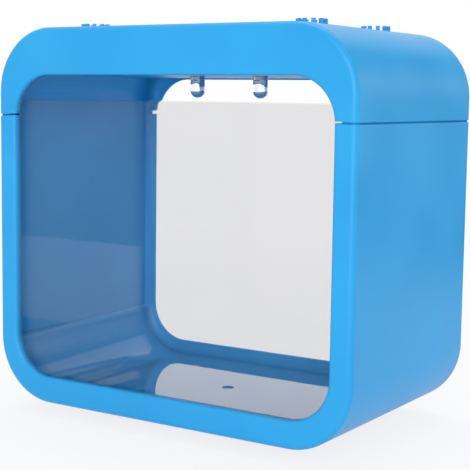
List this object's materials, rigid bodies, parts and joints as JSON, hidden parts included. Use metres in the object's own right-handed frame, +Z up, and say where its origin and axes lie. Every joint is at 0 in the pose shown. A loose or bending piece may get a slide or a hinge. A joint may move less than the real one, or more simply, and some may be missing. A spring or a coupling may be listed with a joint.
{
  "type": "mini aquarium",
  "caption": "Desktop mini aquarium: rounded housing open front and back, clear inner tank, lift-off lid with lamps and a battery bay.",
  "frame": {"origin": "centre of the footprint, on the plane of the four feet", "axes": "+Z up; the front window faces -Y, +X to the right as seen from the front"},
  "size_m": [0.14, 0.0844, 0.1357],
  "materials": {
    "blue_gloss": "satin moulded blue plastic",
    "blue_inner": "satin moulded blue plastic",
    "clear_plastic": "polished clear moulded plastic",
    "lamp_lens": "clear lamp resin",
    "zinc_steel": "zinc plated steel",
    "spring_contact": "nickel plated spring steel",
    "circuit_board": "green solder resist",
    "resistor_body": "tan lacquer",
    "cell_jacket": "plain grey printed jacket",
    "switch_shell": "pressed steel case",
    "switch_black": "black moulded knob",
    "red_lead": "red insulation",
    "black_lead": "black insulation",
    "white_lead": "white insulation"
  },
  "bodies": {
    "base": {"lower_housing": "blue_gloss", "front_left_foot": "blue_gloss", "front_right_foot": "blue_gloss", "rear_left_foot": "blue_gloss", "rear_right_foot": "blue_gloss"},
    "tank": {"inner_tank": "clear_plastic"},
    "lid": {"upper_housing": "blue_gloss", "lamp_plate": "blue_inner", "plate_screws": "zinc_steel", "left_lamp": "lamp_lens", "right_lamp": "lamp_lens", "lamp_board": "circuit_board", "lamp_resistor": "resistor_body", "front_cell": "cell_jacket", "rear_cell": "cell_jacket", "series_contact": "spring_contact", "positive_contact": "spring_contact", "negative_contact": "spring_contact", "series_spring": "spring_contact", "negative_spring": "spring_contact", "switch_body": "switch_shell", "switch_screws": "zinc_steel", "positive_lead": "red_lead", "negative_lead": "black_lead", "switch_lead": "white_lead"},
    "door": {"battery_door": "blue_gloss", "door_screws": "zinc_steel"},
    "knob": {"switch_knob": "switch_black"}
  },
  "joints": [
    {"name": "tank_lift", "type": "slide", "parent": "base", "child": "tank", "axis": [0, 0, 1], "range_m": [0, 0.105]},
    {"name": "lid_lift", "type": "slide", "parent": "tank", "child": "lid", "axis": [0, 0, 1], "range_m": [0, 0.04]},
    {"name": "door_lift", "type": "slide", "parent": "lid", "child": "door", "axis": [0, 0, 1], "range_m": [0, 0.02]},
    {"name": "switch_slide", "type": "slide", "parent": "lid", "child": "knob", "axis": [1, 0, 0], "range_m": [0, 0.004]}
  ]
}
